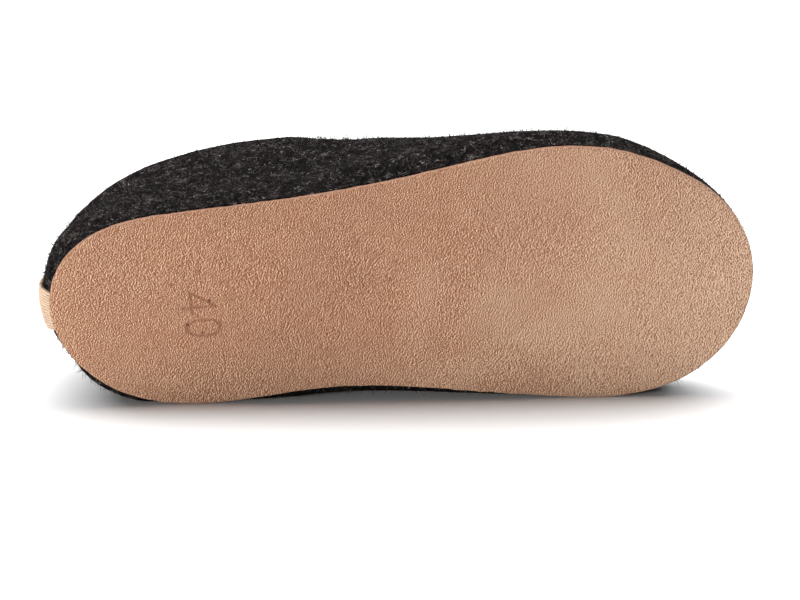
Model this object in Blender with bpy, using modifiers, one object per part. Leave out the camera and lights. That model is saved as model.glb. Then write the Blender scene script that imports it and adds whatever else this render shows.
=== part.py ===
"""A felt slipper for the right foot, size 40, lying on its inner side.

It is made the way such a slipper is made: a thick wool felt upper, closed
at heel and toe and open at the collar, stands on a sheet of suede leather.
A felt insole lies inside it, and a woven tape runs up the back of the heel
and folds over the collar.

Every piece is modelled in the shoe's own frame, standing: X runs from heel
to toe, Y points to the inner side of the foot and Z points up. One empty
then lays the whole slipper on its side.
"""
import math
from collections import namedtuple

import bmesh
import bpy
import numpy as np
from mathutils import Matrix, Vector
from mathutils.bvhtree import BVHTree

for old_object in list(bpy.data.objects):
    bpy.data.objects.remove(old_object, do_unlink=True)

# Lengths and widths, in metres.
sole_length = 0.268
ball_width = 0.1000
throat_reach = 0.124
tape_width = 0.0152
tape_shift = 0.0022
tape_turn_in = 0.012

# Heights above the ground that the slipper would stand on.
heel_height = 0.056
side_height = 0.060
instep_height = 0.076
toe_tip_height = 0.009
toe_spring = 0.005
arch_rise = 0.0015
heel_roll = 0.0008

# Thicknesses and clearances.
sole_thickness = 0.0028
felt_wall = 0.0040
insole_thickness = 0.0045
tape_thickness = 0.0014
felt_edge_round = 0.0012
seam_gap = 0.0003

# Heights of the felt wall above the sole where its swell ends and where its flare ends.
swell_height = 0.013
flare_height = 0.046
upright_foot = 0.0012

# How softly the felt's own curve turns into the floor line, at the sole and at the collar.
tight_blend = 0.001
soft_blend = 0.0025

# Where the sole's inner edge bears on the floor, as shares of the length.
heel_bearing = 0.20
ball_bearing = 0.79

# Weights of the materials, in kilograms per cubic metre.
leather_density = 850.0
felt_density = 340.0
tape_density = 600.0

# The sole's outline: half-widths to each side as shares of the ball width.
Outline = namedtuple("Outline", "along inner outer")
OUTLINE = [
    Outline(0.000, -0.014, 0.014),
    Outline(0.018, 0.126, 0.204),
    Outline(0.075, 0.287, 0.326),
    Outline(0.180, 0.380, 0.375),
    Outline(0.360, 0.370, 0.395),
    Outline(0.550, 0.419, 0.449),
    Outline(0.700, 0.484, 0.500),
    Outline(0.800, 0.507, 0.479),
    Outline(0.900, 0.449, 0.362),
    Outline(0.965, 0.314, 0.213),
    Outline(1.000, 0.044, -0.044),
]

# The last's sections: ridge height as a share of the instep height, squareness of the arch,
# and how far the ridge lies to the inner side as a share of the ball width.
Section = namedtuple("Section", "along ridge square centre")
SECTIONS = [
    Section(0.00, 1.50, 6.0, -0.014),
    Section(0.20, 1.50, 6.0, 0.000),
    Section(0.34, 1.27, 4.2, 0.015),
    Section(0.45, 1.03, 3.05, 0.030),
    Section(0.52, 0.895, 2.95, 0.040),
    Section(0.60, 0.77, 2.85, 0.050),
    Section(0.70, 0.65, 2.75, 0.060),
    Section(0.80, 0.560, 2.6, 0.065),
    Section(0.90, 0.470, 2.4, 0.060),
    Section(1.00, 0.380, 2.3, 0.044),
]

# How far the felt stands outside the sole's edge at its foot, at its swell and at the collar,
# on the outer and on the inner side, as shares of the ball width.
Wall = namedtuple("Wall", "along outer_foot outer_swell outer_rim inner_foot inner_swell inner_rim")
WALLS = [
    Wall(0.00, -0.018, 0.028, -0.040, -0.018, 0.028, -0.040),
    Wall(0.05, -0.006, 0.028, -0.028, 0.020, 0.032, -0.026),
    Wall(0.09, 0.000, 0.026, 0.000, 0.024, 0.032, -0.008),
    Wall(0.14, 0.004, 0.026, 0.034, 0.022, 0.036, 0.008),
    Wall(0.22, 0.004, 0.028, 0.072, 0.010, 0.050, 0.030),
    Wall(0.33, 0.004, 0.030, 0.090, 0.030, 0.095, 0.100),
    Wall(0.45, 0.004, 0.050, 0.106, 0.030, 0.095, 0.100),
    Wall(0.60, 0.003, 0.052, 0.066, 0.018, 0.070, 0.075),
    Wall(0.75, 0.000, 0.020, 0.020, 0.002, 0.035, 0.035),
    Wall(0.90, -0.002, 0.012, 0.012, -0.002, 0.012, 0.012),
    Wall(1.00, -0.004, 0.006, 0.006, -0.004, 0.006, 0.006),
]

# The opening, as shares of the length: where its front begins to close, and which place on
# the sole's edge the felt comes from at the throat. The sweep makes the collar's climb steeper
# towards the throat, and the nose is where the toe begins to round off.
front_start = 0.25
throat_foot = 0.52
collar_sweep = 1.5
nose_start = 0.76

# Columns of the felt along the heel, along the front of the opening and along the vamp,
# rows up each column, and rows across the flat pieces.
heel_columns = 11
front_columns = 16
vamp_columns = 22
felt_rows = 12
sheet_rows = 8

outer_side = -1
inner_side = 1


def closed_curve(points, samples_each=40):
    """Dense points of a smooth closed curve through a few points."""
    count = len(points)
    step = np.linalg.norm(np.roll(points, -1, 0) - points, axis=1)
    matrix = np.zeros((count, count))
    right = np.zeros((count, 2))
    for i in range(count):
        before = step[i - 1]
        after = step[i]
        matrix[i, i - 1] += before
        matrix[i, i] += 2 * (before + after)
        matrix[i, (i + 1) % count] += after
        ahead = (points[(i + 1) % count] - points[i]) / after
        behind = (points[i] - points[i - 1]) / before
        right[i] = 6 * (ahead - behind)
    bend = np.linalg.solve(matrix, right)
    pieces = []
    for i in range(count):
        k = (i + 1) % count
        h = step[i]
        q = np.linspace(0, h, samples_each, endpoint=False)[:, None]
        start = (points[i] / h - bend[i] * h / 6) * (h - q)
        end = (points[k] / h - bend[k] * h / 6) * q
        curve = bend[i] * (h - q) ** 3 / (6 * h) + bend[k] * q ** 3 / (6 * h)
        pieces.append(start + end + curve)
    return np.concatenate(pieces)


def sole_sides():
    """The outline's two sides from heel tip to toe tip: place, outward normal and arc length."""
    outer = [(row.along, -row.outer) for row in OUTLINE]
    inner = [(row.along, row.inner) for row in OUTLINE[-2:0:-1]]
    size = np.array([sole_length, ball_width])
    loop = closed_curve(np.array(outer + inner) * size)
    loop = np.roll(loop, -int(np.argmin(loop[:, 0])), 0)
    tangent = np.roll(loop, -1, 0) - np.roll(loop, 1, 0)
    tangent /= np.linalg.norm(tangent, axis=1)[:, None]
    normal = np.stack([tangent[:, 1], -tangent[:, 0]], 1)
    data = np.concatenate([loop, normal], 1)
    data = np.concatenate([data, data[:1]])
    toe = int(np.argmax(data[:, 0]))
    sides = {}
    for side, part in ((outer_side, data[:toe + 1]), (inner_side, data[toe:][::-1])):
        length = np.linalg.norm(np.diff(part[:, :2], axis=0), axis=1)
        arc = np.concatenate([[0.0], np.cumsum(length)])
        sides[side] = np.concatenate([part, arc[:, None]], 1)
    return sides


SIDES = sole_sides()


def edge_at(side, along):
    """The sole's edge and its outward normal at a share of the length."""
    data = SIDES[side]
    start = data[0, 0]
    place = start + (data[-1, 0] - start) * along
    x, y, normal_x, normal_y = (np.interp(place, data[:, 0], data[:, k]) for k in range(4))
    size = math.hypot(normal_x, normal_y)
    return np.array([x, y]), np.array([normal_x, normal_y]) / size


def along_at_arc(side, arc):
    """The share of the length at a distance round the edge from the heel tip."""
    data = SIDES[side]
    x = np.interp(arc, data[:, 4], data[:, 0])
    return (x - data[0, 0]) / (data[-1, 0] - data[0, 0])


def table_value(rows, column, along):
    """One column of a table on a smooth curve through its rows."""
    place = [row.along for row in rows]
    value = [getattr(row, column) for row in rows]
    slope = np.gradient(value, place)
    i = min(max(int(np.searchsorted(place, along)) - 1, 0), len(rows) - 2)
    span = place[i + 1] - place[i]
    t = min(max((along - place[i]) / span, 0.0), 1.0)
    from_value = (1 + 2 * t) * (1 - t) ** 2 * value[i] + t * (1 - t) ** 2 * span * slope[i]
    to_value = t ** 2 * (3 - 2 * t) * value[i + 1] - t ** 2 * (1 - t) * span * slope[i + 1]
    return from_value + to_value


def share(value, start, end):
    """How far a value has gone from start to end, from 0 to 1."""
    return min(max((value - start) / (end - start), 0.0), 1.0)


def ground_lift(x, y):
    """Height of the sole's outer face: flat at heel and ball, raised at toe, arch and heel end."""
    along = x / sole_length
    toe = share(along, 0.78, 1.0) ** 2
    heel = share(along, 0.06, 0.0) ** 2
    arch = math.sin(math.pi * share(along, 0.27, 0.62)) ** 2
    across = 0.5 + 0.5 * math.sin(math.pi * min(max(y / ball_width, -0.5), 0.5))
    return toe_spring * toe + heel_roll * heel + arch_rise * arch * across


def sole_top(x, y):
    """Height of the sole's upper face."""
    return ground_lift(x, y) + sole_thickness


def bearing_room(along):
    """How far the felt may stand out on the inner side before it passes the floor line."""
    heel_edge, _ = edge_at(inner_side, heel_bearing)
    ball_edge, _ = edge_at(inner_side, ball_bearing)
    slope = (ball_edge[1] - heel_edge[1]) / (ball_edge[0] - heel_edge[0])
    edge, normal = edge_at(inner_side, along)
    line = heel_edge[1] + slope * (edge[0] - heel_edge[0])
    return (line - edge[1]) / max(normal[1], 0.3)


def soft_smaller(one, other, blend):
    """The smaller of two lengths, with a soft change from one to the other."""
    return 0.5 * (one + other - math.sqrt((one - other) ** 2 + blend ** 2))


def wall_offset(side, along, height):
    """How far the felt's outer face stands outside the sole's edge at a height above the sole."""
    name = "outer" if side == outer_side else "inner"
    foot, swell, rim = (ball_width * table_value(WALLS, name + level, along)
                        for level in ("_foot", "_swell", "_rim"))
    if side == inner_side:
        room = bearing_room(along)
        foot = soft_smaller(foot, room, tight_blend)
        swell = soft_smaller(swell, room, tight_blend)
        rim = soft_smaller(rim, room, soft_blend)
    rise = 1 - (1 - share(height, upright_foot, swell_height)) ** 2
    flare = share(height, swell_height, flare_height)
    flare = flare * flare * (3 - 2 * flare)
    return foot + (swell - foot) * rise + (rim - swell) * flare


def ridge_height(along):
    """Height of the last's ridge above the ground, with a round nose at the toe."""
    ridge = instep_height * table_value(SECTIONS, "ridge", along)
    nose = (1 - share(along, nose_start, 1.0) ** 2.2) ** (1 / 1.8)
    tip = toe_tip_height + toe_spring
    return tip + (ridge - tip) * nose


def felt_point(side, along, angle):
    """A point on the felt's outer face: a station of the last and an angle up its arch."""
    edge, normal = edge_at(side, along)
    centre = ball_width * table_value(SECTIONS, "centre", along)
    square = table_value(SECTIONS, "square", along)
    foot = sole_top(edge[0], edge[1]) + seam_gap
    height = ridge_height(along) - foot
    cosine = max(math.cos(angle), 0.0)
    reach = (cosine ** square + math.sin(angle) ** square) ** (-1 / square)
    width_share = reach * cosine
    up = height * reach * math.sin(angle)
    y = centre + (edge[1] - centre) * width_share
    offset = wall_offset(side, along, up) * width_share
    return Vector((edge[0] + normal[0] * offset, y + normal[1] * offset, foot + up))


def angle_at_height(side, along, height):
    """The angle up the arch at which the felt reaches a height above the ground."""
    edge, _ = edge_at(side, along)
    foot = sole_top(edge[0], edge[1]) + seam_gap
    square = table_value(SECTIONS, "square", along)
    up = (height - foot) / (ridge_height(along) - foot)
    up = min(max(up, 0.0), 1.0)
    return math.atan2(up, (1 - up ** square) ** (1 / square))


def collar_height(along):
    """Height of the collar: level round the heel, then rising to the throat."""
    throat = throat_reach / sole_length
    level = share(along, 0.02, front_start)
    climb = share(along, front_start, throat)
    side = heel_height + (side_height - heel_height) * level * level * (3 - 2 * level)
    return side + (ridge_height(throat) - side_height) * climb ** collar_sweep


def front_line(samples=240):
    """Stations and angles evenly spaced round the front of the opening, side to throat."""
    throat = throat_reach / sole_length
    alongs = front_start + (throat - front_start) * (1 - np.linspace(1, 0, samples) ** 4)
    angles = [angle_at_height(outer_side, along, collar_height(along)) for along in alongs]
    points = np.array([felt_point(outer_side, *pair) for pair in zip(alongs, angles)])
    steps = np.linalg.norm(np.diff(points, axis=0), axis=1)
    arc = np.concatenate([[0.0], np.cumsum(steps)])
    even = np.linspace(0, arc[-1], front_columns + 1)
    return list(zip(np.interp(even, arc, alongs), np.interp(even, arc, angles)))


def felt_columns():
    """Foot station, top station and top angle of each column of the felt."""
    columns = []
    for i in range(heel_columns):
        along = front_start * (1 - math.cos(0.5 * math.pi * i / heel_columns))
        columns.append((along, along, angle_at_height(outer_side, along, collar_height(along))))
    for i, (along, angle) in enumerate(front_line()[:-1]):
        foot = front_start + (throat_foot - front_start) * i / front_columns
        columns.append((foot, along, angle))
    throat = throat_reach / sole_length
    for i in range(vamp_columns + 1):
        t = math.sin(0.5 * math.pi * i / vamp_columns)
        columns.append((throat_foot + (1 - throat_foot) * t, throat + (1 - throat) * t, 0.5 * math.pi))
    return columns


COLUMNS = felt_columns()


def column_points(side, foot_along, top_along, top_angle):
    """One column of the felt from the sole up to the collar or the ridge."""
    edge, _ = edge_at(side, foot_along)
    foot_angle = angle_at_height(side, foot_along, sole_top(*edge) + seam_gap + upright_foot)
    points = [felt_point(side, foot_along, 0.0)]
    for i in range(felt_rows):
        t = i / (felt_rows - 1)
        along = foot_along + (top_along - foot_along) * t
        angle = foot_angle + (top_angle - foot_angle) * t
        points.append(felt_point(side, along, angle))
    return points


def mesh_object(name, build, material):
    """A mesh object made by a function that fills a bmesh, in the slipper's collection."""
    shape = bmesh.new()
    build(shape)
    bmesh.ops.remove_doubles(shape, verts=shape.verts, dist=0.00001)
    mesh = bpy.data.meshes.new(name)
    shape.to_mesh(mesh)
    shape.free()
    mesh.materials.append(material)
    piece = bpy.data.objects.new(name, mesh)
    slipper_collection.objects.link(piece)
    piece.parent = resting_frame
    return piece


def add_grid(shape, lines, flip):
    """Faces between neighbouring lines of points."""
    rows = [[shape.verts.new(point) for point in line] for line in lines]
    for one, other in zip(rows, rows[1:]):
        for i in range(len(one) - 1):
            corners = [one[i], other[i], other[i + 1], one[i + 1]]
            if flip:
                corners.reverse()
            shape.faces.new(corners)


def add_wall(piece, thickness, offset):
    """Thickness for an open surface."""
    wall = piece.modifiers.new("wall", "SOLIDIFY")
    wall.thickness = thickness
    wall.offset = offset
    wall.use_even_offset = True
    return wall


def soften_edges(piece, width, segments):
    """Rounded edges where faces meet at more than half a right angle."""
    soft = piece.modifiers.new("soft_edges", "BEVEL")
    soft.width = width
    soft.segments = segments
    soft.limit_method = "ANGLE"
    soft.angle_limit = math.radians(50)
    return soft


def sheet_ring(side_offset):
    """Pairs of edge points, outer and inner, moved out from the sole's edge by a function."""
    pairs = []
    for foot_along, _, _ in COLUMNS:
        pair = []
        for side in (outer_side, inner_side):
            edge, normal = edge_at(side, foot_along)
            pair.append(edge + normal * side_offset(side, foot_along))
        pairs.append(pair)
    return pairs


def add_sheet(shape, pairs, height):
    """An open sheet between the two sides of a ring, each point at its own height."""
    lines = []
    for outer, inner in pairs:
        line = []
        for i in range(sheet_rows + 1):
            x, y = outer + (inner - outer) * i / sheet_rows
            line.append(Vector((x, y, height(x, y))))
        lines.append(line)
    ends = (lines[0][0], lines[-1][0])
    middle = lines[1:-1]
    add_grid(shape, middle, False)
    shape.verts.ensure_lookup_table()
    last = (len(middle) - 1) * (sheet_rows + 1)
    heel_tip = shape.verts.new(ends[0])
    toe_tip = shape.verts.new(ends[1])
    shape.verts.ensure_lookup_table()
    for i in range(sheet_rows):
        shape.faces.new([heel_tip, shape.verts[i], shape.verts[i + 1]])
        shape.faces.new([toe_tip, shape.verts[last + i + 1], shape.verts[last + i]])


def make_material(name, colour, roughness):
    """A plain finish for one piece."""
    material = bpy.data.materials.new(name)
    material.use_nodes = True
    shader = material.node_tree.nodes["Principled BSDF"]
    shader.inputs["Base Color"].default_value = (*colour, 1.0)
    shader.inputs["Roughness"].default_value = roughness
    shader.inputs["Metallic"].default_value = 0.0
    return material


def make_outsole():
    """The suede leather sheet, flat at heel and ball."""
    def build(shape):
        add_sheet(shape, sheet_ring(lambda side, along: 0.0), ground_lift)
    outsole = mesh_object("outsole", build, make_material("suede_leather", (0.45, 0.27, 0.18), 0.9))
    add_wall(outsole, sole_thickness, 1.0)
    return outsole


def make_upper():
    """The felt upper: one wall from the sole to the collar, closed at heel and toe."""
    def build(shape):
        for side in (outer_side, inner_side):
            lines = [column_points(side, *column) for column in COLUMNS]
            add_grid(shape, lines, side == inner_side)
    upper = mesh_object("upper", build, make_material("wool_felt", (0.03, 0.028, 0.03), 0.95))
    add_wall(upper, felt_wall, -1.0)
    soften_edges(upper, felt_edge_round, 2)
    return upper


def make_insole():
    """The felt insole, a clearance inside the upper's foot."""
    def inset(side, along):
        return wall_offset(side, along, 0.0) - felt_wall - seam_gap

    def height(x, y):
        return sole_top(x, y) + seam_gap

    def build(shape):
        add_sheet(shape, sheet_ring(inset), height)
    insole = mesh_object("insole", build, make_material("insole_felt", (0.06, 0.055, 0.055), 0.95))
    add_wall(insole, insole_thickness, 1.0)
    return insole


def heel_point(arc, t):
    """A point on the felt's back, by distance round from its middle and share of its height."""
    side = outer_side if arc < 0 else inner_side
    along = along_at_arc(side, abs(arc))
    top_angle = angle_at_height(side, along, collar_height(along))
    return felt_point(side, along, top_angle * t)


def tape_line(arc, up_rows=9, over_rows=6, in_rows=4):
    """One line of the tape's inner face: up the heel, over the collar and down inside."""
    reach = 0.0004
    line = []

    def frame(t):
        here = heel_point(arc, t)
        across = heel_point(arc + reach, t) - heel_point(arc - reach, t)
        up = (heel_point(arc, t + 0.01) - heel_point(arc, t - 0.01)).normalized()
        return here, across.cross(up).normalized() * -1.0, up

    for i in range(up_rows):
        here, out, _ = frame(0.01 + 0.99 * i / (up_rows - 1))
        line.append(here + out * seam_gap)
    top, out, up = frame(1.0)
    middle = top - out * 0.5 * felt_wall
    half = 0.5 * felt_wall + seam_gap
    for i in range(1, over_rows):
        turn = math.pi * i / over_rows
        side = math.copysign(abs(math.cos(turn)) ** 0.6, math.cos(turn))
        line.append(middle + out * half * side + up * 2.0 * seam_gap * math.sin(turn) ** 0.6)
    height = (top - heel_point(arc, 0.0)).length
    for i in range(in_rows):
        here, out, _ = frame(1.0 - i / (in_rows - 1) * tape_turn_in / height)
        line.append(here - out * (felt_wall + seam_gap))
    return line


def make_heel_tape(across_columns=6):
    """The woven tape, from the sole's upper face over the collar."""
    def build(shape):
        lines = []
        for i in range(across_columns + 1):
            arc = tape_shift + tape_width * (i / across_columns - 0.5)
            lines.append(tape_line(arc))
        add_grid(shape, lines, True)
    tape = mesh_object("heel_tape", build, make_material("woven_tape", (0.75, 0.58, 0.44), 0.85))
    add_wall(tape, tape_thickness, 1.0)
    return tape


def solid_points(piece):
    """The finished solid's corners, volume and centre in the shoe's frame."""
    depsgraph = bpy.context.evaluated_depsgraph_get()
    evaluated = piece.evaluated_get(depsgraph)
    mesh = evaluated.to_mesh()
    mesh.calc_loop_triangles()
    corners = np.array([vertex.co for vertex in mesh.vertices])
    triangles = np.array([triangle.vertices for triangle in mesh.loop_triangles])
    evaluated.to_mesh_clear()
    a, b, c = (corners[triangles[:, k]] for k in range(3))
    volumes = np.einsum("ij,ij->i", a, np.cross(b, c)) / 6
    centre = ((a + b + c) / 4 * volumes[:, None]).sum(0) / volumes.sum()
    return corners, volumes.sum(), centre


def lay_on_side(weighted_pieces):
    """Turn the shoe onto the inner side that carries its weight, and set it on the ground."""
    corners = []
    weight = 0.0
    balance = np.zeros(3)
    for piece, density in weighted_pieces:
        points, volume, centre = solid_points(piece)
        corners.append(points)
        weight += volume * density
        balance += volume * density * centre
    balance = Vector(balance / weight)
    corners = np.concatenate(corners)
    hull = bmesh.new()
    for corner in corners:
        hull.verts.new(corner)
    bmesh.ops.convex_hull(hull, input=hull.verts)
    tree = BVHTree.FromBMesh(hull)
    down = Vector((0.0, 1.0, 0.0))
    for _ in range(12):
        _, normal, _, _ = tree.ray_cast(balance, down)
        down = normal
    hull.free()
    toe = Vector((1.0, 0.0, 0.0))
    toe = (toe - down * toe.dot(down)).normalized()
    up = -down
    away = up.cross(toe)
    turn = Matrix((toe, away, up))
    laid = corners @ np.array(turn).T
    low = laid.min(0)
    high = laid.max(0)
    middle = 0.5 * (low + high)
    resting_frame.matrix_world = Matrix.Translation((-middle[0], -middle[1], -low[2])) @ turn.to_4x4()


slipper_collection = bpy.data.collections.new("felt_slipper")
bpy.context.scene.collection.children.link(slipper_collection)
resting_frame = bpy.data.objects.new("resting_frame", None)
slipper_collection.objects.link(resting_frame)

outsole = make_outsole()
upper = make_upper()
insole = make_insole()
heel_tape = make_heel_tape()
bpy.context.view_layer.update()
lay_on_side([
    (outsole, leather_density),
    (upper, felt_density),
    (insole, felt_density),
    (heel_tape, tape_density),
])
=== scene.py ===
import math
from collections import namedtuple

import bpy
import numpy as np
from mathutils import Matrix, Vector, kdtree, noise


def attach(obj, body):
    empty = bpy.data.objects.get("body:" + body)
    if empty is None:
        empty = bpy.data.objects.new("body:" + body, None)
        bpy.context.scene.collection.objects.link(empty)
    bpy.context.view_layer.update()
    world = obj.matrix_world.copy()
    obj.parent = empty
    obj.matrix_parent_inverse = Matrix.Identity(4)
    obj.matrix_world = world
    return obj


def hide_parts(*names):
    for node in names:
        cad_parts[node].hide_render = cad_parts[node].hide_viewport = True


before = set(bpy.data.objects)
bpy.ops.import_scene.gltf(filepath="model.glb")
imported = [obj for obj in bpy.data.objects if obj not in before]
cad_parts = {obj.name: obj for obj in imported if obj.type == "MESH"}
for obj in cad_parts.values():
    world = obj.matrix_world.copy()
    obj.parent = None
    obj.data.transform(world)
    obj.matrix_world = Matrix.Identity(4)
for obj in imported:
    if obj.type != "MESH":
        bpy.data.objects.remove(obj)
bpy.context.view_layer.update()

# The outsole: one flat sheet of suede leather 2.8 mm thick, knife-cut to the foot's outline and
# cemented under the felt with its brushed flesh side to the ground. The nap is pressed flatter and
# paler under the ball and the toes, and a plain size number is stamped blind under the heel.
sole_length = 0.268
ball_width = 0.1000
sole_thickness = 0.0028
toe_spring = 0.005
arch_rise = 0.0015
heel_roll = 0.0008
toe_lift_start = 0.78
heel_lift_end = 0.06
arch_start, arch_end = 0.27, 0.62
outer_side = -1
inner_side = 1

Outline = namedtuple("Outline", "along inner outer")
OUTLINE = [
    Outline(0.000, -0.014, 0.014),
    Outline(0.018, 0.126, 0.204),
    Outline(0.075, 0.287, 0.326),
    Outline(0.180, 0.380, 0.375),
    Outline(0.360, 0.370, 0.395),
    Outline(0.550, 0.419, 0.449),
    Outline(0.700, 0.484, 0.500),
    Outline(0.800, 0.507, 0.479),
    Outline(0.900, 0.449, 0.362),
    Outline(0.965, 0.314, 0.213),
    Outline(1.000, 0.044, -0.044),
]

# The slipper lies on its inner side: its own axes, heel to toe, to the inner side and up.
lying = Matrix((
    (0.9969264, 0.0783397, 0.0008063, -0.1313238),
    (0.0, -0.0102918, 0.9999470, -0.0379091),
    (0.0783438, -0.9968736, -0.0102602, 0.0342642),
    (0.0, 0.0, 0.0, 1.0),
))


def unit(vectors):
    """The same vectors with a length of one."""
    return vectors / np.linalg.norm(vectors, axis=-1)[..., None]


def arc_length(points):
    """Distance along a line of points."""
    return np.concatenate([[0.0], np.cumsum(np.linalg.norm(np.diff(points, axis=0), axis=1))])


def closed_curve(points, samples_each=160):
    """Dense points of a smooth closed curve through a few points."""
    ahead = np.roll(points, -1, 0)
    after = np.linalg.norm(ahead - points, axis=1)
    before = np.roll(after, 1)
    slope = (ahead - points) / after[:, None]
    one = np.eye(len(points))
    matrix = one * 2 * (before + after)[:, None]
    matrix += np.roll(one, -1, 1) * before[:, None] + np.roll(one, 1, 1) * after[:, None]
    bend = np.linalg.solve(matrix, 6 * (slope - np.roll(slope, 1, 0)))
    next_bend = np.roll(bend, -1, 0)
    pieces = []
    for start, end, start_bend, end_bend, h in zip(points, ahead, bend, next_bend, after):
        q = np.linspace(0, h, samples_each, endpoint=False)[:, None]
        pieces.append((start / h - start_bend * h / 6) * (h - q) + (end / h - end_bend * h / 6) * q
                      + start_bend * (h - q) ** 3 / (6 * h) + end_bend * q ** 3 / (6 * h))
    return np.concatenate(pieces)


def sole_sides():
    """The outline's two sides from heel tip to toe tip: place, outward normal and arc length."""
    outer = [(row.along, -row.outer) for row in OUTLINE]
    inner = [(row.along, row.inner) for row in OUTLINE[-2:0:-1]]
    loop = closed_curve(np.array(outer + inner) * np.array([sole_length, ball_width]))
    loop = np.roll(loop, -int(np.argmin(loop[:, 0])), 0)
    tangent = unit(np.roll(loop, -1, 0) - np.roll(loop, 1, 0))
    data = np.concatenate([loop, tangent[:, 1:], -tangent[:, :1]], 1)
    data = np.concatenate([data, data[:1]])
    toe = int(np.argmax(data[:, 0]))
    found = {}
    for side, part in ((outer_side, data[:toe + 1]), (inner_side, data[toe:][::-1])):
        found[side] = np.concatenate([part, arc_length(part[:, :2])[:, None]], 1)
    return found


sides = sole_sides()


def edge_at(side, along):
    """The sole's edge and its outward normal at shares of the length."""
    data = sides[side]
    place = data[0, 0] + (data[-1, 0] - data[0, 0]) * np.asarray(along, float)
    x, y, normal_x, normal_y = (np.interp(place, data[:, 0], data[:, k]) for k in range(4))
    size = np.hypot(normal_x, normal_y)
    return np.stack([x, y], -1), np.stack([normal_x / size, normal_y / size], -1)


def share(value, start, end):
    """How far values have gone from start to end, from 0 to 1."""
    return np.clip((value - start) / (end - start), 0.0, 1.0)


def ease(value, start, end):
    """The same with a soft start and a soft end."""
    t = share(value, start, end)
    return t * t * (3 - 2 * t)


def ground_lift(x, y):
    """Height of the sole's outer face: flat at heel and ball, raised at toe, arch and heel end."""
    along = x / sole_length
    toe = share(along, toe_lift_start, 1.0) ** 2
    heel = share(along, heel_lift_end, 0.0) ** 2
    arch = np.sin(math.pi * share(along, arch_start, arch_end)) ** 2
    across = 0.5 + 0.5 * np.sin(math.pi * np.clip(y / ball_width, -0.5, 0.5))
    return toe_spring * toe + heel_roll * heel + arch_rise * arch * across


def noise_at(points, size, seed):
    """Soft random heights between -1 and 1 at points, with lumps of a given size."""
    shift = Vector((17.3 * seed, 5.1 * seed, 9.7 * seed))
    return np.array([noise.noise(Vector(point) / size + shift) for point in points])


def grid_faces(rows, flip=False):
    """Four-cornered faces between neighbouring rows of vertex numbers."""
    one, other = rows[:-1], rows[1:]
    faces = np.stack([one[:, :-1], other[:, :-1], other[:, 1:], one[:, 1:]], -1).reshape(-1, 4)
    return faces[:, ::-1] if flip else faces


weld_step = 0.000002


def merge(points, step):
    """The points that stay when those that coincide become one, and every point's new number."""
    keys = np.round(points / step).astype(np.int64)
    _, first, number = np.unique(keys, axis=0, return_index=True, return_inverse=True)
    return points[first], number.reshape(-1)


def weld(points, faces):
    """A mesh with its coinciding points merged; faces keep their corners without repeats."""
    points, number = merge(points, weld_step)
    kept = []
    for face in number[faces]:
        corners = [int(v) for i, v in enumerate(face) if v != face[i - 1]]
        if len(set(corners)) > 2:
            kept.append(corners)
    return points, kept


def show(name, data):
    """A new object of the scene."""
    shown = bpy.data.objects.new(name, data)
    bpy.context.scene.collection.objects.link(shown)
    return shown


def lay_down(name, points, faces, marks=None):
    """A smooth mesh object of a piece, turned from the shoe's frame to the way it lies."""
    mesh = bpy.data.meshes.new(name)
    mesh.from_pydata([tuple(p) for p in points], [], faces)
    for mark, values in (marks or {}).items():
        attribute = mesh.attributes.new(mark, "FLOAT", "POINT")
        attribute.data.foreach_set("value", np.asarray(values, np.float32))
    mesh.transform(lying)
    mesh.update()
    mesh.calc_loop_triangles()
    corner = np.array([v.co for v in mesh.vertices])
    a, b, c = (corner[[t.vertices[k] for t in mesh.loop_triangles]] for k in range(3))
    if np.einsum("ij,ij->i", a, np.cross(b, c)).sum() < 0:
        mesh.flip_normals()
    mesh.shade_smooth()
    return show(name, mesh)


def colour(code):
    """A linear colour from an sRGB hex code."""
    parts = [int(code[i:i + 2], 16) / 255 for i in (1, 3, 5)]
    return (*[p / 12.92 if p <= 0.04045 else ((p + 0.055) / 1.055) ** 2.4 for p in parts], 1.0)


def add_node(tree, kind, settings=None, **inputs):
    """A node with its settings and its inputs: values, or outputs of other nodes."""
    node = tree.nodes.new(kind)
    for name, value in (settings or {}).items():
        setattr(node, name, value)
    for name, value in inputs.items():
        wanted = name.replace("_", " ")
        if wanted[-1].isdigit() and wanted[:-1] in ("value", "input"):
            socket = [s for s in node.inputs if s.enabled][int(wanted[-1])]
        else:
            socket = next(s for s in node.inputs if s.enabled and s.name.lower() == wanted)
        if isinstance(value, bpy.types.NodeSocket):
            tree.links.new(value, socket)
        else:
            socket.default_value = value
    return node


def new_finish(name, **constants):
    """A material with one principled shader, its constants set on the shader itself."""
    material = bpy.data.materials.new(name)
    material.use_nodes = True
    tree = material.node_tree
    shader = tree.nodes["Principled BSDF"]
    for socket, value in constants.items():
        shader.inputs[socket.replace("_", " ")].default_value = value
    return material, tree, shader


def blend_colours(tree, amount, first, second):
    """The first colour going over to the second."""
    mix = add_node(tree, "ShaderNodeMix", {"data_type": "RGBA"})
    sockets = [s for s in mix.inputs if s.enabled]
    for socket, value in zip((sockets[0], *sockets[-2:]), (amount, first, second)):
        if isinstance(value, bpy.types.NodeSocket):
            tree.links.new(value, socket)
        else:
            socket.default_value = value
    return next(s for s in mix.outputs if s.enabled)


def ramp(tree, value, low, high, to_low=0.0, to_high=1.0):
    """A value stretched from one range to another with a soft start and end."""
    node = add_node(tree, "ShaderNodeMapRange", {"interpolation_type": "SMOOTHSTEP"},
                    value=value, from_min=low, from_max=high, to_min=to_low, to_max=to_high)
    return node.outputs[0]


def calculate(tree, operation, *values):
    """One sum of one or two values."""
    inputs = {"value" + str(k): value for k, value in enumerate(values)}
    return add_node(tree, "ShaderNodeMath", {"operation": operation}, **inputs).outputs[0]


def times(tree, one, other):
    """The product of two values."""
    return calculate(tree, "MULTIPLY", one, other)


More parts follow.
